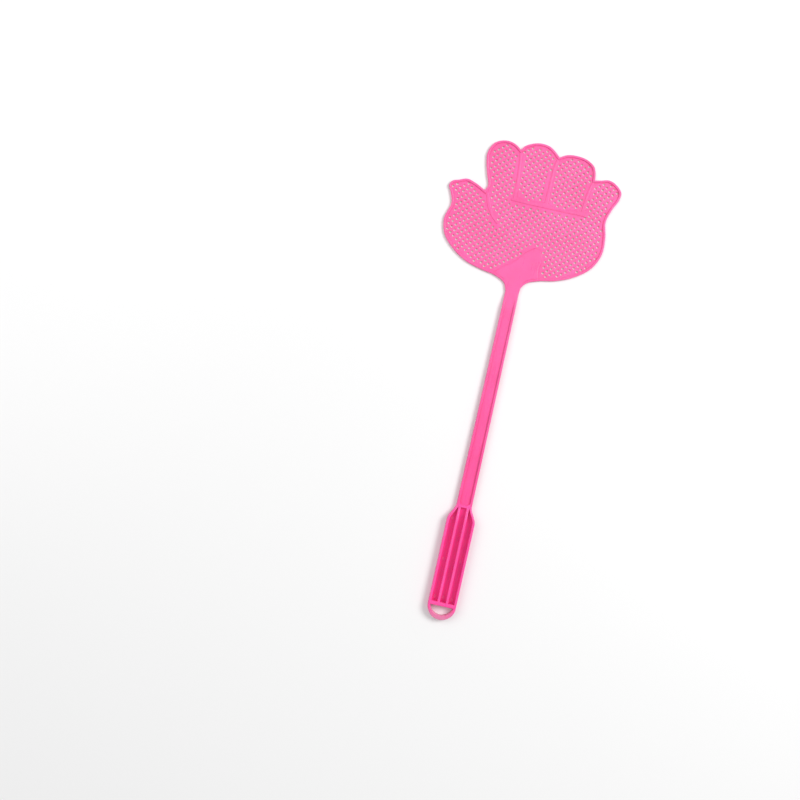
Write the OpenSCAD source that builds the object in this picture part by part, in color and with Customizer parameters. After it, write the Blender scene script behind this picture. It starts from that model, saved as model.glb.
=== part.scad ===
// Hand-shaped fly swatter, moulded in one shot of polypropylene.
// X runs across the swatter, +Y from the handle to the fingertips, +Z up from its flat back.
// The origin is in the middle of the box that holds it, on the back face.

/* [Overall] */
// Length from the end of the handle to the tip of the middle finger
length = 440; // [430:1:450]
// Height of the handle, its deepest section
handle_h = 8; // [6.5:0.5:10]

/* [Handle] */
// Width of the handle
handle_w = 25.5; // [24:0.5:28]
// Length of the handle, to the end wall of the stem's channel
handle_len = 105.5; // [100:0.5:110]
// Length of the sloping shoulder between handle and stem
shoulder_len = 15; // [10:1:20]
// Thickness of the handle's side walls
wall_t = 2.2; // [1.8:0.1:2.6]
// Thickness of the two long ribs inside the handle
grip_rib_t = 2.4; // [1.8:0.1:2.6]
// Distance of each long rib's centre line from the middle
grip_rib_x = 3.8; // [3.6:0.1:4.2]
// Thickness of the floor under the three troughs
floor_t = 1.8; // [1.4:0.1:2.4]
// Thickness of the bar that closes the troughs at the hanging end
end_wall_t = 3.4; // [3:0.1:4]
// Thickness of the bar between the troughs and the stem's channel
bridge_t = 2.4; // [2:0.1:3]

/* [Hanging eye] */
// Distance of the eye's straight side from the end of the handle
eye_top = 12.6; // [12:0.1:13.5]
// Thickness of the bent bar at the very end
eye_bar_t = 4; // [3.5:0.1:4.5]
// Half of the eye's width along its straight side
eye_half_w = 10.4; // [9.5:0.1:10.6]

/* [Stem] */
// Width of the stem where it leaves the handle
stem_w = 14; // [13:0.5:15]
// Width of the stem at the neck
neck_w = 12.4; // [11.5:0.1:13]
// Height of the stem at the handle
stem_h = 5.4; // [4.8:0.1:6]
// Height of the stem just before the neck
neck_h = 4.6; // [4:0.1:5]
// Thickness of the stem under its channel
stem_web_t = 3.2; // [2.6:0.1:3.8]
// How far the corners at the round end of that channel reach along it
channel_round = 2.6; // [1.5:0.1:4]

/* [Head] */
// Width of the raised bead round the hand, and of the stem's rails that run into it
bead_w = 2.1; // [1.8:0.1:2.4]
// Height of the bead, and of the solid neck where the stem runs into it
bead_h = 2.6; // [2.2:0.1:3]
// Height of the ribs between the fingers and of the palm's crease
rib_h = 2; // [1.8:0.1:2.4]
// Thickness of the perforated web
web_t = 1.4; // [1.2:0.1:1.8]

/* [Holes] */
// Diameter of each hole in the web
hole_d = 2.3; // [1.8:0.1:2.4]
// Distance between holes along a row
hole_pitch = 6.64; // [6.4:0.02:7]
// Distance between rows, each shifted by half a pitch
row_pitch = 2.58; // [2.56:0.02:2.8]
// Least plain web between a hole and a bead, rib or fan
hole_gap = 0.25; // [0.2:0.05:0.5]

/* [Ejector marks] */
// Diameter of the round marks on the trough floors
mark_d = 3; // [2:0.1:4]
// How far the marks stand out
mark_h = 0.35; // [0.2:0.05:0.5]

/* [Hidden] */

// Below, every second number is the distance from the end of the handle.
neck_s = 303;          // where the stem becomes the head
neck_slope_s = 286;    // where the rails start to run down to the bead
loop_h = 6.4;          // height of the bent bar at the very end
overlap = 1;           // how far cutting shapes run past what they cut
beyond = 90;           // a distance across that is outside the hand
above = 450;           // a distance along that is past the fingertips
fan_s = 316;           // where the bead leaves the fan's sides, and the perforated palm begins
fan_half_w = 21;       // half of the fan's width there
fan_slope_s = 312;     // where the fan starts to run down to the web
fan_end_s = 347;       // just past the fan's tip
fan_step = 0.2;        // how far the fan's tip stands above the web
curve_steps = 5;       // straight pieces between two points of a curve
line_end_r = 0.8;      // rounding of the ends of the ribs and the crease
web_start = 320.7;     // first row of holes
thumb_seam = web_start + 15.5 * row_pitch; // between two rows, at the thumb's base
finger_seam = web_start + 24.5 * row_pitch; // between two rows, at the fingers' bases

web_colour = [1.0, 0.45, 0.70];
raised_colour = [1.0, 0.41, 0.67];
floor_colour = [0.94, 0.19, 0.50];

// The hand's outline, clockwise from the left of the neck. It turns sharply only where two lists meet.
thumb_side = [
    [-neck_w / 2, neck_s], [-8.8, 309.3], [-18, 314.3], [-31, 316.9], [-46, 321], [-61, 330],
    [-71.6, 341.7], [-74.9, 354.5], [-71.4, 371], [-74.4, 379.8], [-77, 385.6], [-75, 389.4],
    [-69, 391.8], [-62, 394.3], [-54, 392.2], [-44.2, 387.5]
];
index_tip = [
    [-44.2, 387.5], [-42.4, 392.3], [-45, 401], [-48, 411], [-49.3, 422], [-44.7, 431.6],
    [-33, 435.8], [-25.5, 433.9], [-20.3, 430.3]
];
middle_tip = [
    [-20.3, 430.3], [-17.6, 434.2], [-12.2, 437.6], [-2.5, 440], [5, 438.8], [10.5, 435.4], [15.2, 431.2]
];
ring_tip = [
    [15.2, 431.2], [20.5, 434.4], [31, 436], [41, 434.2], [47.8, 429.6], [50.4, 423], [51, 418]
];
little_side = [
    [51, 418], [56, 419], [63.5, 420.8], [71.6, 417.6], [76.8, 411.6], [76.4, 405.5], [72.2, 396],
    [68.7, 383], [71.4, 370], [71.8, 354], [66, 340.5], [52, 328.5], [36, 321.4], [20, 317.6],
    [11, 313.6], [6.8, 308], [neck_w / 2, neck_s]
];

// Centre lines of the ribs, from the fingers' tips down.
thumb_line = [[-45, 389.5], [-40.9, finger_seam], [-37.8, 375.5], [-33.5, 367.8], [-27, thumb_seam]];
index_line = [[-20.3, 432], [-18.1, 415], [-16.9, 400], [-16, finger_seam]];
middle_line = [[15.2, 433], [12.8, 420], [12.5, 405], [12.8, finger_seam]];
little_line = [[51, 420], [48.5, 410], [47.1, 400], [46.6, finger_seam]];
crease_line = [
    [-19.5, 384.6], [-13, 385.8], [-5, 384.9], [4, 385.4], [13, 386], [22, 384.7], [33, 384.6], [42, 385.8],
    [48.7, 385.9]
];

// Widths of the ribs at the points of those lines.
thumb_widths = [2.4, 2.8, 3.2, 2.6, 1.7];
index_widths = [2.4, 2.4, 2.6, 4];
middle_widths = [2.4, 2.4, 2.6, 4];
little_widths = [2.4, 2.4, 2.6, 4];
crease_widths = [1.8, 4.6, 2.8, 4, 5, 2.4, 2.4, 4.4, 4.4];

// The solid fan that spreads the stem into the palm.
fan_line = [
    [-fan_half_w, fan_s], [-15.5, 321.8], [-9.5, 326.6], [-3.4, 331.4], [1.6, 338], [7.5, 343.6], [13.6, 346.6],
    [18, 343.5], [19.8, 336], [18.8, 327], [fan_half_w, fan_s]
];

// Ejector marks: across, along.
marks = [[-7.8, 92], [-7.8, 54.5], [-7.8, 19.5], [0, 20], [7.8, 54.5], [7.8, 19.5]];

// A smooth curve through points, without its last point. Each bend takes its slope from both neighbours.
function chord(p, i) = norm(p[i + 1] - p[i]);
function step_slope(p, i) = (p[i + 1] - p[i]) / chord(p, i);
function slope(p, i) =
    i == 0 ? step_slope(p, 0)
    : i == len(p) - 1 ? step_slope(p, i - 1)
    : (chord(p, i) * step_slope(p, i - 1) + chord(p, i - 1) * step_slope(p, i)) / (chord(p, i - 1) + chord(p, i));
function between(a, b, a_slope, b_slope, t) =
    (2 * t ^ 3 - 3 * t ^ 2 + 1) * a + (t ^ 3 - 2 * t ^ 2 + t) * a_slope
    + (3 * t ^ 2 - 2 * t ^ 3) * b + (t ^ 3 - t ^ 2) * b_slope;
function curve(p) = [
    for (i = [0 : len(p) - 2], k = [0 : curve_steps - 1])
        between(p[i], p[i + 1], slope(p, i) * chord(p, i), slope(p, i + 1) * chord(p, i), k / curve_steps)
];
function full_curve(p) = concat(curve(p), [p[len(p) - 1]]);
function reversed(p) = [for (i = [len(p) - 1 : -1 : 0]) p[i]];

// A band along a smooth line, with a width at each of the line's points.
function side_of(p, widths, i, sign) =
    let (s = slope(p, i)) p[i] + sign * widths[i] / 2 * [-s.y, s.x];
function band(p, widths) = concat(
    full_curve([for (i = [0 : len(p) - 1]) side_of(p, widths, i, 1)]),
    reversed(full_curve([for (i = [0 : len(p) - 1]) side_of(p, widths, i, -1)]))
);

hand_outline = concat(
    curve(thumb_side), curve(index_tip), curve(middle_tip), curve(ring_tip), full_curve(little_side)
);
thumb_band = band(thumb_line, thumb_widths);
index_band = band(index_line, index_widths);
middle_band = band(middle_line, middle_widths);
little_band = band(little_line, little_widths);
crease_band = band(crease_line, crease_widths);
fan_outline = full_curve(fan_line);

// The thumb's line above the finger seam, and below it.
thumb_curve = full_curve(thumb_line);
thumb_top_curve = [for (i = [0 : curve_steps]) thumb_curve[i]];
thumb_low_curve = [for (i = [curve_steps : len(thumb_curve) - 1]) thumb_curve[i]];

// Tests on points: inside a closed outline, and distance from its edge.
function crosses(a, b, p) =
    (a.y > p.y) != (b.y > p.y) && p.x < a.x + (p.y - a.y) * (b.x - a.x) / (b.y - a.y);
function inside(p, outline) =
    let (n = len(outline))
    len([for (i = [0 : n - 1]) if (crosses(outline[i], outline[(i + 1) % n], p)) i]) % 2 == 1;
function edge_distance(p, a, b) =
    let (ab = b - a, t = max(0, min(1, (p - a) * ab / (ab * ab)))) norm(p - a - t * ab);
function distance_to(p, outline) =
    let (n = len(outline)) min([for (i = [0 : n - 1]) edge_distance(p, outline[i], outline[(i + 1) % n])]);
function clear_of(p, outline) = !inside(p, outline) && distance_to(p, outline) > hole_d / 2 + hole_gap;
function holds(p, zone) =
    inside(p, zone) && inside(p, hand_outline)
    && distance_to(p, hand_outline) > bead_w + hole_d / 2 + hole_gap
    && clear_of(p, thumb_band) && clear_of(p, index_band) && clear_of(p, middle_band)
    && clear_of(p, little_band) && clear_of(p, crease_band) && clear_of(p, fan_outline);
function lattice() = [
    for (row = [0 : 44], column = [-12 : 12])
        [(column + (row % 2 == 0 ? 0.5 : 0)) * hole_pitch, web_start + row * row_pitch]
];

// Half of the width of handle and stem, and the height of their top edges, at a distance from the end.
function eased(a, b, t) = a + (b - a) * t * t * (3 - 2 * t);
function half_w(s) =
    s < handle_w / 2 ? sqrt(max(0, (handle_w / 2) ^ 2 - (handle_w / 2 - s) ^ 2))
    : s < handle_len - shoulder_len ? handle_w / 2
    : s < handle_len ? eased(handle_w, stem_w, (s - handle_len + shoulder_len) / shoulder_len) / 2
    : (stem_w + (neck_w - stem_w) * (s - handle_len) / (neck_s - handle_len)) / 2;
function top_z(s) =
    s < eye_top ? eased(loop_h, handle_h, s / eye_top)
    : s < handle_len - shoulder_len ? handle_h
    : s < handle_len ? eased(handle_h, stem_h, (s - handle_len + shoulder_len) / shoulder_len)
    : s < neck_slope_s ? stem_h + (neck_h - stem_h) * (s - handle_len) / (neck_slope_s - handle_len)
    : eased(neck_h, bead_h, min(1, (s - neck_slope_s) / (neck_s - neck_slope_s)));
function steps(s0, s1, n) = [for (k = [0 : n]) s0 + (s1 - s0) * k / n];
bends = concat(
    steps(0, eye_top, 6), steps(handle_len - shoulder_len, handle_len, 12), [handle_len + channel_round],
    steps(neck_slope_s, neck_s, 8)
);
function stations(s0, s1) = concat([s0], [for (s = bends) if (s > s0 && s < s1) s], [s1]);

// Moves what is drawn by distance from the handle's end into the part's own frame.
module placed() translate([0, -length / 2, 0]) children();

// The plan of handle and stem, and a block under their top edges.
module body_plan(s0, s1, inset = 0) {
    stops = stations(s0, s1);
    polygon(concat(
        [for (s = stops) [inset - half_w(s), s]],
        reversed([for (s = stops) [half_w(s) - inset, s]])
    ));
}
module side_view(points)
    rotate([90, 0, 90]) linear_extrude(handle_w + 2 * overlap, center = true) polygon(points);
module under_top(s0, s1)
    side_view(concat([[s0, 0]], [for (s = stations(s0, s1)) [s, top_z(s)]], [[s1, 0]]));
module half_plane(side) translate([side < 0 ? -beyond : 0, -overlap]) square([beyond, above]);

// One side wall or rail between two distances from the end.
module side_strip(side, s0, s1, thickness)
    placed() intersection() {
        under_top(s0, s1);
        linear_extrude(handle_h + overlap) intersection() {
            difference() {
                body_plan(s0, s1);
                body_plan(s0 - overlap, s1 + overlap, thickness);
            }
            half_plane(side);
        }
    }
module grip_rib(side)
    placed() intersection() {
        under_top(eye_top + end_wall_t, handle_len - bridge_t);
        translate([side * grip_rib_x - grip_rib_t / 2, eye_top + end_wall_t, 0])
            cube([grip_rib_t, handle_len - bridge_t - eye_top - end_wall_t, handle_h]);
    }

// The hand inside its bead, with an open throat where the stem comes in.
module inner_hand() {
    offset(delta = -bead_w) polygon(hand_outline);
    translate([-neck_w / 2 + bead_w, neck_s]) square([neck_w - 2 * bead_w, 2 * bead_w]);
}
module round_ended(outline)
    offset(r = line_end_r, $fn = 24) offset(delta = -line_end_r) polygon(outline);
module raised_lines() {
    round_ended(thumb_band);
    round_ended(index_band);
    round_ended(middle_band);
    round_ended(little_band);
    round_ended(crease_band);
    polygon(fan_outline);
}
module web(zone)
    color(web_colour) placed() linear_extrude(web_t) difference() {
        intersection() {
            offset(delta = -bead_w) polygon(hand_outline);
            polygon(zone);
        }
        raised_lines();
        for (p = lattice()) if (holds(p, zone)) translate(p) circle(d = hole_d, $fn = 32);
    }
module head_rib(outline)
    color(raised_colour) placed() linear_extrude(rib_h) difference() {
        intersection() {
            offset(delta = -bead_w) polygon(hand_outline);
            round_ended(outline);
        }
        round_ended(crease_band);
    }

module palm_web() web(concat(
    [[beyond, fan_s], [beyond, finger_seam]], thumb_low_curve, [[-beyond, thumb_seam], [-beyond, fan_s]]
));
module thumb_web() web(concat([[-beyond, thumb_seam], [-beyond, 402], [-52, 402]], thumb_curve));
module index_web() web(concat(
    [[-52, 402], [-60, above], [-20.3, above]], full_curve(index_line), reversed(thumb_top_curve)
));
module middle_web() web(concat(
    [[-20.3, above]], full_curve(index_line), reversed(full_curve(middle_line)), [[15.2, above]]
));
module ring_web() web(concat(
    [[15.2, above]], full_curve(middle_line), reversed(full_curve(little_line)), [[51, above]]
));
module little_web() web(concat([[51, above]], full_curve(little_line), [[beyond, finger_seam], [beyond, above]]));

module head_rim()
    color(raised_colour) placed() linear_extrude(bead_h) difference() {
        polygon(hand_outline);
        inner_hand();
    }
module thumb_rib() head_rib(thumb_band);
module index_rib() head_rib(index_band);
module middle_rib() head_rib(middle_band);
module little_rib() head_rib(little_band);
module palm_crease() color(raised_colour) placed() linear_extrude(rib_h) round_ended(crease_band);
module neck_fan()
    color(web_colour) placed() intersection() {
        scale([2, 1, 1]) side_view([
            [neck_s, 0], [neck_s, bead_h], [fan_slope_s, bead_h], [fan_end_s, web_t + fan_step], [fan_end_s, 0]
        ]);
        linear_extrude(bead_h) intersection() {
            inner_hand();
            union() {
                polygon(fan_outline);
                translate([-fan_half_w, neck_s]) square([2 * fan_half_w, fan_s - neck_s]);
            }
        }
    }

// The two corners that round the end of the stem's channel.
module channel_corners() {
    half = stem_w / 2 - bead_w;
    difference() {
        body_plan(handle_len, handle_len + channel_round, bead_w);
        translate([0, handle_len + channel_round]) scale([half, channel_round]) circle(r = 1, $fn = 64);
    }
}
module stem_web()
    color(web_colour) placed() intersection() {
        side_view([
            [handle_len, 0], [handle_len, stem_web_t], [neck_slope_s, stem_web_t], [neck_s, bead_h], [neck_s, 0]
        ]);
        linear_extrude(stem_web_t) difference() {
            body_plan(handle_len, neck_s, bead_w);
            channel_corners();
        }
    }
module stem_rail_left() color(raised_colour) side_strip(-1, handle_len, neck_s, bead_w);
module stem_rail_right() color(raised_colour) side_strip(1, handle_len, neck_s, bead_w);

module stem_bridge()
    color(raised_colour) placed() intersection() {
        under_top(handle_len - bridge_t, handle_len + channel_round);
        linear_extrude(handle_h + overlap) {
            body_plan(handle_len - bridge_t, handle_len, wall_t);
            channel_corners();
        }
    }
module handle_floor()
    color(floor_colour) placed() linear_extrude(floor_t) difference() {
        body_plan(eye_top + end_wall_t, handle_len - bridge_t, wall_t);
        for (side = [-1, 1])
            translate([side * grip_rib_x - grip_rib_t / 2, 0]) square([grip_rib_t, handle_len]);
    }
module handle_wall_left() color(raised_colour) side_strip(-1, eye_top, handle_len, wall_t);
module handle_wall_right() color(raised_colour) side_strip(1, eye_top, handle_len, wall_t);
module grip_rib_left() color(raised_colour) grip_rib(-1);
module grip_rib_right() color(raised_colour) grip_rib(1);
module end_wall()
    color(raised_colour) placed()
        linear_extrude(handle_h) body_plan(eye_top, eye_top + end_wall_t, wall_t);
module hang_loop() {
    depth = eye_top - eye_bar_t;
    eye_r = (eye_half_w ^ 2 + depth ^ 2) / (2 * depth);
    color(raised_colour) placed() intersection() {
        under_top(0, eye_top);
        linear_extrude(handle_h + overlap) difference() {
            intersection() {
                translate([0, handle_w / 2]) circle(d = handle_w, $fn = 96);
                translate([-handle_w / 2, 0]) square([handle_w, eye_top]);
            }
            translate([0, eye_bar_t + eye_r]) circle(r = eye_r, $fn = 96);
        }
    }
}
module ejector_marks()
    color(floor_colour) placed() for (p = marks)
        translate([p.x, p.y, floor_t]) cylinder(d = mark_d, h = mark_h, $fn = 32);

palm_web();
thumb_web();
index_web();
middle_web();
ring_web();
little_web();
head_rim();
thumb_rib();
index_rib();
middle_rib();
little_rib();
palm_crease();
neck_fan();
stem_web();
stem_rail_left();
stem_rail_right();
stem_bridge();
handle_floor();
handle_wall_left();
handle_wall_right();
grip_rib_left();
grip_rib_right();
end_wall();
hang_loop();
ejector_marks();
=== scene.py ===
"""Hand-shaped fly swatter: rounds the moulding's parts, finishes its plastic and sets a plain studio."""

import math

import bmesh
import bpy
from bpy.props import FloatProperty, FloatVectorProperty, IntProperty, PointerProperty
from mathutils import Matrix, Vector
from mathutils.bvhtree import BVHTree


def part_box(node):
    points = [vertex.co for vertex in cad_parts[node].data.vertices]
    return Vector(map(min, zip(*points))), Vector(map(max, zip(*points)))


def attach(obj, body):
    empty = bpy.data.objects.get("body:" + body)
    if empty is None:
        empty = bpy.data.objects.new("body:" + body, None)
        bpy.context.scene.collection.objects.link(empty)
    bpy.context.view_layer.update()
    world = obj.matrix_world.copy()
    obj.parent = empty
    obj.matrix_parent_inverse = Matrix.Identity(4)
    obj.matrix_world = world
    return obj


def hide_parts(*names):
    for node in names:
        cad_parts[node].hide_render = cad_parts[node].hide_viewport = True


bl_info = {
    "name": "Hand Fly Swatter",
    "version": (1, 0, 0),
    "blender": (4, 5, 0),
    "location": "3D View > Sidebar > Swatter",
    "description": "Rounds and finishes the parts of a moulded fly swatter and sets its studio",
    "category": "Object",
}

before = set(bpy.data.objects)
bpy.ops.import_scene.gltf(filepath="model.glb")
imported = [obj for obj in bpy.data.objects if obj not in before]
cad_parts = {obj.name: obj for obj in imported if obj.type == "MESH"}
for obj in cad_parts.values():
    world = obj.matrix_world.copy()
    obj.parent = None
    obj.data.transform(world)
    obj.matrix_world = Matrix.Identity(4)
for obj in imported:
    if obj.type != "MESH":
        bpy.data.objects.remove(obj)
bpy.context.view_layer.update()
BODY = "root"
MM = 0.001
TOUCH = 0.04 * MM                # what is nearer than this counts as touching
FLAT_ANGLE = math.radians(0.3)   # faces that meet at less are one flat face
EDGE_ANGLE = math.radians(30)    # faces that meet at more have an edge to round

SURFACES = {
    name: BVHTree.FromPolygons([v.co for v in node.data.vertices], [p.vertices for p in node.data.polygons])
    for name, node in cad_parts.items()
}
WEBS = ["palm_web", "thumb_web", "index_web", "middle_web", "ring_web", "little_web"]


# ---------------------------------------------------------------- settings


class SwatterEdges(bpy.types.PropertyGroup):
    rounding: FloatProperty(
        name="Rounding", description="Rounding of the top edges of bead, ribs, rails and walls",
        default=0.7 * MM, min=0.2 * MM, max=0.8 * MM, subtype="DISTANCE", unit="LENGTH",
    )
    back_rounding: FloatProperty(
        name="Back rounding", description="Rounding of the outline's edge on the flat back",
        default=0.3 * MM, min=0.1 * MM, max=0.5 * MM, subtype="DISTANCE", unit="LENGTH",
    )
    hole_rounding: FloatProperty(
        name="Hole rounding", description="Rounding of the rims of the web's holes",
        default=0.11 * MM, min=0.05 * MM, max=0.13 * MM, subtype="DISTANCE", unit="LENGTH",
    )
    mark_rounding: FloatProperty(
        name="Mark rounding", description="Rounding of the ejector marks",
        default=0.12 * MM, min=0.05 * MM, max=0.3 * MM, subtype="DISTANCE", unit="LENGTH",
    )
    steps: IntProperty(
        name="Rounding steps", description="Flat steps in each rounding", default=4, min=1, max=6,
    )
    blend: FloatProperty(
        name="Blend", description="How far a rib or cross wall runs on inside the part that it meets",
        default=1.1 * MM, min=0.8 * MM, max=1.5 * MM, subtype="DISTANCE", unit="LENGTH",
    )
    step_down: FloatProperty(
        name="Step down", description="How far the top and back of such a rib lie inside the part that it meets",
        default=0.03 * MM, min=0.01 * MM, max=0.1 * MM, subtype="DISTANCE", unit="LENGTH",
    )


class SwatterColours(bpy.types.PropertyGroup):
    # Web, thin, stem and handle are one pink plastic: the pink is its real colour, and the steps between them are
    # painted light, lighter on the thin head and deeper on the thick stem and handle.
    web: FloatVectorProperty(
        name="Web", description="Plastic of the thin perforated webs",
        subtype="COLOR", size=3, min=0, max=1, default=(1.0, 0.133, 0.39),
    )
    thin: FloatVectorProperty(
        name="Thin parts", description="Plastic of the hand's bead, ribs and neck",
        subtype="COLOR", size=3, min=0, max=1, default=(0.94, 0.13, 0.385),
    )
    stem: FloatVectorProperty(
        name="Stem", description="Plastic of the stem's rails and channel",
        subtype="COLOR", size=3, min=0, max=1, default=(0.93, 0.085, 0.33),
    )
    handle: FloatVectorProperty(
        name="Handle", description="Plastic of the deep handle",
        subtype="COLOR", size=3, min=0, max=1, default=(1.0, 0.085, 0.375),
    )
    # Painted shade: a deeper, redder pink than the handle, standing for the shade that falls on the floors of the deep
    # troughs.
    trough: FloatVectorProperty(
        name="Trough floors", description="Colour of the floor of the handle's troughs",
        subtype="COLOR", size=3, min=0, max=1, default=(1.0, 0.04, 0.36),
    )
    # Painted light: a paler, less red pink than the handle, for the light shining through the thin bar round the
    # hanging eye; it turns to the handle's colour towards the end wall, where the bar stands taller.
    lit_through_loop: FloatVectorProperty(
        name="Hanging loop", description="Plastic of the bent bar round the hanging eye, which lets light through",
        subtype="COLOR", size=3, min=0, max=1, default=(0.78, 0.26, 0.435),
    )
    floor: FloatVectorProperty(
        name="Floor", description="Pale surface under the swatter",
        subtype="COLOR", size=3, min=0, max=1, default=(0.84, 0.84, 0.84),
    )


class SwatterStudio(bpy.types.PropertyGroup):
    turn: FloatProperty(
        name="Camera turn", description="Turn of the overhead camera against the swatter's length",
        default=math.radians(12.7), subtype="ANGLE", unit="ROTATION",
    )
    across: FloatProperty(
        name="Camera across", description="Camera's place across the swatter",
        default=-77.5 * MM, subtype="DISTANCE", unit="LENGTH",
    )
    along: FloatProperty(
        name="Camera along", description="Camera's place along the swatter",
        default=-34.5 * MM, subtype="DISTANCE", unit="LENGTH",
    )
    view_width: FloatProperty(
        name="View width", description="Width of the view at the floor",
        default=725 * MM, subtype="DISTANCE", unit="LENGTH",
    )
    clearance: FloatProperty(
        name="Clearance", description="Gap under the swatter, because a moulding never lies quite flat",
        default=0.15 * MM, min=0, max=2 * MM, subtype="DISTANCE", unit="LENGTH",
    )
    lens: FloatProperty(
        name="Lens", description="Focal length in millimetres", default=50, min=20, max=200,
    )


# ---------------------------------------------------------------- modelling helpers


def select_only(piece):
    bpy.ops.object.select_all(action="DESELECT")
    piece.select_set(True)
    bpy.context.view_layer.objects.active = piece


def edit_all(piece):
    """Opens a piece for editing with everything on it selected."""
    select_only(piece)
    bpy.ops.object.mode_set(mode="EDIT")
    bpy.ops.mesh.select_all(action="SELECT")


def leave_edit():
    bpy.ops.object.mode_set(mode="OBJECT")


def copy_of(node, name):
    """A merged copy of a CAD node's mesh, as a new object."""
    piece = bpy.data.objects.new(name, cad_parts[node].data.copy())
    bpy.context.scene.collection.objects.link(piece)
    piece.data.materials.clear()
    edit_all(piece)
    bpy.ops.mesh.remove_doubles(threshold=0.001 * MM)
    leave_edit()
    return piece


def clear_flats(piece):
    """Clears the edges that run across flat faces."""
    edit_all(piece)
    bpy.ops.mesh.dissolve_limited(angle_limit=FLAT_ANGLE)
    leave_edit()


def touches(point, nodes):
    """Whether a point lies on the surface of one of these CAD nodes."""
    return any(SURFACES[node].find_nearest(point)[3] < TOUCH for node in nodes)


def middle_of(edge):
    return (edge.verts[0].co + edge.verts[1].co) / 2


def is_top_edge(edge):
    """Whether an upper face meets an upright one here."""
    up = [face for face in edge.link_faces if face.normal.z > 0.7]
    upright = [face for face in edge.link_faces if abs(face.normal.z) < 0.3]
    return bool(up and upright) and edge.is_convex


def is_back_edge(edge):
    return edge.is_convex and max(vertex.co.z for vertex in edge.verts) < TOUCH


def round_edges(piece, width_at, steps):
    """Rounds each edge by the width that width_at gives for it."""
    mesh = bmesh.new()
    mesh.from_mesh(piece.data)
    weights = mesh.edges.layers.float.new("bevel_weight_edge")
    for edge in mesh.edges:
        if len(edge.link_faces) == 2 and edge.calc_face_angle() > EDGE_ANGLE:
            edge[weights] = width_at(edge) / MM
    mesh.to_mesh(piece.data)
    mesh.free()
    select_only(piece)
    bevel = piece.modifiers.new("Round", "BEVEL")
    bevel.limit_method = "WEIGHT"
    bevel.width = MM
    bevel.segments = steps
    bevel.use_clamp_overlap = False
    bpy.ops.object.modifier_apply(modifier=bevel.name)


def move_where(piece, chosen, shift):
    """Moves the vertices that chosen picks."""
    select_only(piece)
    bpy.ops.object.mode_set(mode="EDIT")
    bpy.ops.mesh.select_all(action="DESELECT")
    bpy.ops.object.mode_set(mode="OBJECT")
    for vertex in piece.data.vertices:
        vertex.select = chosen(vertex.co)
    bpy.ops.object.mode_set(mode="EDIT")
    bpy.ops.transform.translate(value=shift)
    leave_edit()


def smooth(piece, angle=40):
    """Smooths rounded stretches and keeps flat faces flat."""
    select_only(piece)
    bpy.ops.object.shade_smooth_by_angle(angle=math.radians(angle))
    weighted = piece.modifiers.new("Weighted normals", "WEIGHTED_NORMAL")
    weighted.keep_sharp = True
    bpy.ops.object.modifier_apply(modifier=weighted.name)


def finish_piece(piece, node, material):
    piece.data.materials.clear()
    piece.data.materials.append(material)
    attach(piece, BODY)
    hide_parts(node)


def moulded(node, flush_with, material, slot, under=0, runs_into=(), width_at=None, shape=None):
    """A CAD node with rounded edges, but none where it is flush with a neighbour. Each end in runs_into,
    given as neighbours and direction, runs on inside those neighbours, and under says how many steps the
    piece lies inside their top and back, so that no two faces share a plane. Shape levels the piece before
    it is rounded, and gives the step that ends its making."""
    edges = bpy.context.scene.swatter_edges
    others = [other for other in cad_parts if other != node]
    piece = copy_of(node, node + "_part")
    finish_shape = shape(piece) if shape else None
    clear_flats(piece)
    step = Vector((0, 0, under * edges.step_down))
    if under:
        move_where(piece, lambda place: place.z > MM, -step)

    def rounding(edge):
        middle = middle_of(edge)
        if is_back_edge(edge):
            return 0 if touches(middle, others) else edges.back_rounding
        if not is_top_edge(edge) or touches(middle + step, flush_with):
            return 0
        return width_at(middle) if width_at else edges.rounding

    round_edges(piece, rounding, edges.steps)
    for neighbours, direction in runs_into:
        shift = Vector(direction).normalized() * edges.blend
        move_where(piece, lambda place: place.z < TOUCH and touches(place, neighbours), step)
        move_where(piece, lambda place: touches(place, neighbours), shift)
    if finish_shape:
        finish_shape(piece)
    smooth(piece)
    finish_piece(piece, node, material)


# ---------------------------------------------------------------- materials


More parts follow.
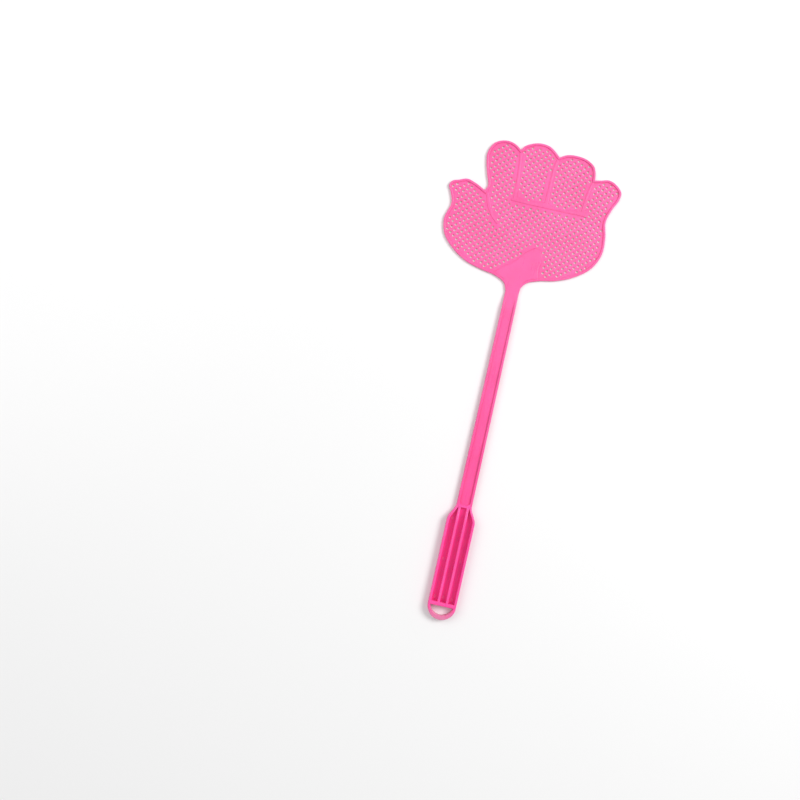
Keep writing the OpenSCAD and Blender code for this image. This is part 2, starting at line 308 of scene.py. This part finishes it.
def plastic(part, depth, turns_to=None, over=None):
    """Moulded polypropylene: soft gloss, faint flow lines along the swatter, fine grain and light scuffs.
    Light gets as deep as depth into it. Its colour turns to that of turns_to along the node over."""
    name = "Moulded plastic of the " + part
    known = bpy.data.materials.get(name)
    if known:
        return known
    colour = getattr(bpy.context.scene.swatter_colours, part)
    material = bpy.data.materials.new(name)
    material.use_nodes = True
    nodes, links = material.node_tree.nodes, material.node_tree.links
    shader = nodes["Principled BSDF"]
    shader.inputs["IOR"].default_value = 1.49
    shader.inputs["Subsurface Weight"].default_value = 0.3
    shader.inputs["Subsurface Radius"].default_value = (1.0, 0.3, 0.6)
    shader.inputs["Subsurface Scale"].default_value = depth
    place = nodes.new("ShaderNodeTexCoord")

    def noise(scale, stretch, detail):
        turn = nodes.new("ShaderNodeMapping")
        turn.inputs["Scale"].default_value = stretch
        links.new(place.outputs["Object"], turn.inputs["Vector"])
        pattern = nodes.new("ShaderNodeTexNoise")
        pattern.inputs["Scale"].default_value = scale
        pattern.inputs["Detail"].default_value = detail
        links.new(turn.outputs["Vector"], pattern.inputs["Vector"])
        return pattern.outputs["Fac"]

    flow = noise(60, (4, 0.35, 1), 3)
    clouds = noise(35, (1, 1, 1), 2)
    grain = noise(2600, (1, 1, 1), 2)
    scuffs = noise(420, (1, 0.12, 1), 4)

    def scaled(value, low, high):
        remap = nodes.new("ShaderNodeMapRange")
        remap.inputs["From Min"].default_value = 0.3
        remap.inputs["From Max"].default_value = 0.7
        remap.inputs["To Min"].default_value = low
        remap.inputs["To Max"].default_value = high
        links.new(value, remap.inputs["Value"])
        return remap.outputs["Result"]

    tint = nodes.new("ShaderNodeMix")
    tint.data_type = "RGBA"
    tint.blend_type = "MULTIPLY"
    tint.inputs["Factor"].default_value = 1
    tint.inputs["A"].default_value = (*colour, 1)
    links.new(scaled(clouds, 0.88, 1), tint.inputs["B"])
    links.new(tint.outputs["Result"], shader.inputs["Base Color"])
    # Grades this colour into that of turns_to along the node over: on the stem it joins two tones of the plastic, and
    # on the bar round the hanging eye it grades painted light into the handle's colour.
    if turns_to:
        low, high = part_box(over)
        along = nodes.new("ShaderNodeSeparateXYZ")
        links.new(place.outputs["Object"], along.inputs["Vector"])
        reach = nodes.new("ShaderNodeMapRange")
        reach.inputs["From Min"].default_value = low.y
        reach.inputs["From Max"].default_value = high.y
        links.new(along.outputs["Y"], reach.inputs["Value"])
        turning = nodes.new("ShaderNodeMix")
        turning.data_type = "RGBA"
        turning.inputs["A"].default_value = (*colour, 1)
        turning.inputs["B"].default_value = (*getattr(bpy.context.scene.swatter_colours, turns_to), 1)
        links.new(reach.outputs["Result"], turning.inputs["Factor"])
        links.new(turning.outputs["Result"], tint.inputs["A"])

    rough = nodes.new("ShaderNodeMath")
    rough.operation = "ADD"
    links.new(scaled(scuffs, 0.26, 0.36), rough.inputs[0])
    links.new(scaled(clouds, -0.03, 0.03), rough.inputs[1])
    links.new(rough.outputs["Value"], shader.inputs["Roughness"])

    lines = nodes.new("ShaderNodeBump")
    lines.inputs["Strength"].default_value = 0.25
    lines.inputs["Distance"].default_value = 0.05 * MM
    links.new(flow, lines.inputs["Height"])
    fine = nodes.new("ShaderNodeBump")
    fine.inputs["Strength"].default_value = 0.2
    fine.inputs["Distance"].default_value = 0.01 * MM
    links.new(grain, fine.inputs["Height"])
    links.new(lines.outputs["Normal"], fine.inputs["Normal"])
    links.new(fine.outputs["Normal"], shader.inputs["Normal"])
    return material


def web_plastic():
    return plastic("web", 0.6 * MM)


def thin_plastic():
    return plastic("thin", MM)


def stem_plastic():
    return plastic("stem", MM, turns_to="thin", over="stem_web")


def handle_plastic():
    return plastic("handle", 0.8 * MM)


# Painted shade: the darker plastic for the floors of the handle's troughs, where shade falls.
def trough_plastic():
    return plastic("trough", 0.8 * MM)


# Painted light: paler where the bar round the hanging eye is low and light shines through it, turning to the handle's
# colour along the bar.
def lit_through_loop_plastic():
    return plastic("lit_through_loop", 2 * MM, turns_to="handle", over="hang_loop")


# ---------------------------------------------------------------- operators


def sloping_top(piece):
    """Levels the loop's top at the handle's height, and returns what slopes it again once it is rounded."""
    low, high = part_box("hang_loop")
    end_height = min(vertex.co.z for vertex in piece.data.vertices if vertex.co.z > MM)

    def height_at(y):
        t = (y - low.y) / (high.y - low.y)
        return end_height + (high.z - end_height) * t * t * (3 - 2 * t)

    def slope(rounded):
        edit_all(rounded)
        for cut in range(1, 8):
            bpy.ops.mesh.select_all(action="SELECT")
            middle = low.y + (high.y - low.y) * cut / 8
            bpy.ops.mesh.bisect(plane_co=(0, middle, 0), plane_no=(0, 1, 0))
        leave_edit()
        for vertex in rounded.data.vertices:
            if vertex.co.z > MM:
                vertex.co.z *= height_at(vertex.co.y) / high.z

    for vertex in piece.data.vertices:
        if vertex.co.z > MM:
            vertex.co.z = high.z
    return slope


class SWATTER_OT_handle(bpy.types.Operator):
    """Rounds the walls, ribs, cross walls and hanging loop of the handle"""

    bl_idname = "swatter.handle"
    bl_label = "Handle"

    def execute(self, context):
        finish = handle_plastic(), "handle_plastic"
        for side, sign in (("left", -1), ("right", 1)):
            moulded("handle_wall_" + side, ["hang_loop", "stem_rail_" + side], *finish)
            moulded(
                "grip_rib_" + side, ["end_wall", "stem_bridge"], *finish, under=2,
                runs_into=[(["end_wall"], (0, -1, 0)), (["stem_bridge"], (0, 1, 0))],
            )
        walls = ["handle_wall_left", "handle_wall_right"]
        moulded(
            "end_wall", walls + ["hang_loop"], *finish, under=1,
            runs_into=[(walls[:1], (-1, 0, 0)), (walls[1:], (1, 0, 0))],
        )
        left = ["handle_wall_left", "stem_rail_left"]
        right = ["handle_wall_right", "stem_rail_right"]
        channel_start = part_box("stem_web")[0].y - TOUCH
        rounding = context.scene.swatter_edges.rounding
        moulded(
            "stem_bridge", left + right, *finish, under=1,
            runs_into=[(left, (-1, 0, 0)), (right, (1, 0, 0))],
            width_at=lambda place: rounding if place.y < channel_start else 0,
        )
        # The troughs' floors get the deeper pink of painted shade.
        moulded("handle_floor", [], trough_plastic(), "handle_plastic", width_at=lambda place: 0)
        # The bar round the hanging eye gets the paler pink of painted light shining through it.
        moulded("hang_loop", walls + ["end_wall"], lit_through_loop_plastic(), "handle_plastic", shape=sloping_top)
        return {"FINISHED"}


class SWATTER_OT_stem(bpy.types.Operator):
    """Rounds the stem's rails, and runs the roundings inside its channel out where the channel ends"""

    bl_idname = "swatter.stem"
    bl_label = "Stem"

    def execute(self, context):
        rounding = context.scene.swatter_edges.rounding
        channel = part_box("stem_web")[1]

        def running_out(place):
            """The whole rounding outside, and inside the channel what its depth leaves room for."""
            if abs(place.x) > channel.x + TOUCH:
                return rounding
            return max(0, min(rounding, 0.6 * (place.z - channel_floor(place.y))))

        def channel_floor(y):
            return SURFACES["stem_web"].ray_cast(Vector((0, y, 1)), Vector((0, 0, -1)))[0].z

        finish = stem_plastic(), "rib_plastic"
        for side in ("left", "right"):
            moulded(
                "stem_rail_" + side, ["head_rim", "handle_wall_" + side, "stem_bridge"], *finish, width_at=running_out,
            )
        moulded("stem_web", [], *finish, width_at=lambda place: 0)
        return {"FINISHED"}


class SWATTER_OT_hand(bpy.types.Operator):
    """Rounds the bead, ribs, crease and solid neck of the hand"""

    bl_idname = "swatter.hand"
    bl_label = "Hand"

    def execute(self, context):
        finish = thin_plastic(), "rib_plastic"
        moulded("head_rim", ["neck_fan", "stem_rail_left", "stem_rail_right"], *finish)
        moulded("neck_fan", ["head_rim", "stem_web"], *finish)
        moulded("palm_crease", [], *finish)
        moulded("thumb_rib", ["head_rim"], *finish, under=1, runs_into=[(["head_rim"], (-0.5, 0.85, 0))])
        for rib, towards_tip in (
            ("index_rib", (-0.13, 0.99, 0)), ("middle_rib", (0.18, 0.98, 0)), ("little_rib", (0.25, 0.97, 0)),
        ):
            moulded(
                rib, ["head_rim", "palm_crease"], *finish, under=1,
                runs_into=[(["head_rim"], towards_tip), (["palm_crease"], (0, -1, 0))],
            )
        return {"FINISHED"}


class SWATTER_OT_webs(bpy.types.Operator):
    """Makes the perforated webs, with rounded rims on their holes"""

    bl_idname = "swatter.webs"
    bl_label = "Webs"

    def execute(self, context):
        width = context.scene.swatter_edges.hole_rounding
        rim_step = 0.25 * MM

        def hole_rim(edge):
            """Only rims are made of such short edges between a flat face and an upright one."""
            slopes = sorted(abs(face.normal.z) for face in edge.link_faces)
            return width if edge.calc_length() < rim_step and slopes[0] < 0.1 and slopes[1] > 0.9 else 0

        for node in WEBS:
            piece = copy_of(node, node + "_part")
            round_edges(piece, hole_rim, 1)
            smooth(piece, angle=25)
            finish_piece(piece, node, web_plastic())
        return {"FINISHED"}


class SWATTER_OT_marks(bpy.types.Operator):
    """Rounds the round ejector marks on the trough floors"""

    bl_idname = "swatter.marks"
    bl_label = "Ejector Marks"

    def execute(self, context):
        width = context.scene.swatter_edges.mark_rounding
        moulded("ejector_marks", [], handle_plastic(), "handle_plastic", width_at=lambda place: width)
        return {"FINISHED"}


class SWATTER_OT_stage(bpy.types.Operator):
    """Lays a pale floor and sets the overhead camera and the soft lights"""

    bl_idname = "swatter.stage"
    bl_label = "Stage"

    def execute(self, context):
        scene = context.scene
        studio = scene.swatter_studio
        bpy.ops.object.select_all(action="DESELECT")
        bpy.ops.mesh.primitive_plane_add(size=8, location=(0, 0, -studio.clearance))
        floor = context.active_object
        floor.name = "studio_floor"
        floor.data.materials.append(floor_surface(scene.swatter_colours.floor))

        bpy.ops.object.camera_add(rotation=(0, 0, studio.turn))
        camera = context.active_object
        height = studio.view_width * studio.lens / camera.data.sensor_width
        camera.location = studio.across, studio.along, height
        camera.data.lens = studio.lens
        camera.data.clip_start = 0.01
        scene.camera = camera

        soft_light("key_light", place=(1.1, 0.7, 1.5), size=1.0, power=27)
        soft_light("fill_light", place=(-1.2, 0.3, 1.5), size=1.6, power=12)
        world = bpy.data.worlds.new("Studio")
        world.use_nodes = True
        background = world.node_tree.nodes["Background"]
        background.inputs["Color"].default_value = (1, 1, 1, 1)
        background.inputs["Strength"].default_value = 0.52
        scene.world = world
        scene.view_settings.view_transform = "Standard"
        return {"FINISHED"}


def soft_light(name, place, size, power):
    """A round area light aimed at the middle of the swatter."""
    bpy.ops.object.light_add(type="AREA", location=place)
    light = bpy.context.active_object
    light.name = name
    light.data.shape = "DISK"
    light.data.size = size
    light.data.energy = power
    light.rotation_euler = (-Vector(place)).to_track_quat("-Z", "Y").to_euler()
    light.visible_camera = False


def floor_surface(colour):
    material = bpy.data.materials.new("Pale floor")
    material.use_nodes = True
    shader = material.node_tree.nodes["Principled BSDF"]
    shader.inputs["Base Color"].default_value = (*colour, 1)
    shader.inputs["Roughness"].default_value = 0.35
    return material


class SWATTER_PT_panel(bpy.types.Panel):
    bl_idname = "SWATTER_PT_panel"
    bl_label = "Fly Swatter"
    bl_space_type = "VIEW_3D"
    bl_region_type = "UI"
    bl_category = "Swatter"

    def draw(self, context):
        for settings in (context.scene.swatter_edges, context.scene.swatter_colours, context.scene.swatter_studio):
            column = self.layout.column()
            for name in settings.__annotations__:
                column.prop(settings, name)
        for operator in OPERATORS:
            self.layout.operator(operator.bl_idname)


OPERATORS = (
    SWATTER_OT_handle, SWATTER_OT_stem, SWATTER_OT_hand, SWATTER_OT_webs, SWATTER_OT_marks, SWATTER_OT_stage,
)
SETTINGS = {"swatter_edges": SwatterEdges, "swatter_colours": SwatterColours, "swatter_studio": SwatterStudio}


def register():
    for settings in SETTINGS.values():
        bpy.utils.register_class(settings)
    for operator in OPERATORS:
        bpy.utils.register_class(operator)
    bpy.utils.register_class(SWATTER_PT_panel)
    for name, settings in SETTINGS.items():
        setattr(bpy.types.Scene, name, PointerProperty(type=settings))


def unregister():
    for name in SETTINGS:
        delattr(bpy.types.Scene, name)
    bpy.utils.unregister_class(SWATTER_PT_panel)
    for operator in reversed(OPERATORS):
        bpy.utils.unregister_class(operator)
    for settings in SETTINGS.values():
        bpy.utils.unregister_class(settings)


def main():
    register()
    bpy.ops.swatter.handle()
    bpy.ops.swatter.stem()
    bpy.ops.swatter.hand()
    bpy.ops.swatter.webs()
    bpy.ops.swatter.marks()
    bpy.ops.swatter.stage()


if __name__ == "__main__":
    main()
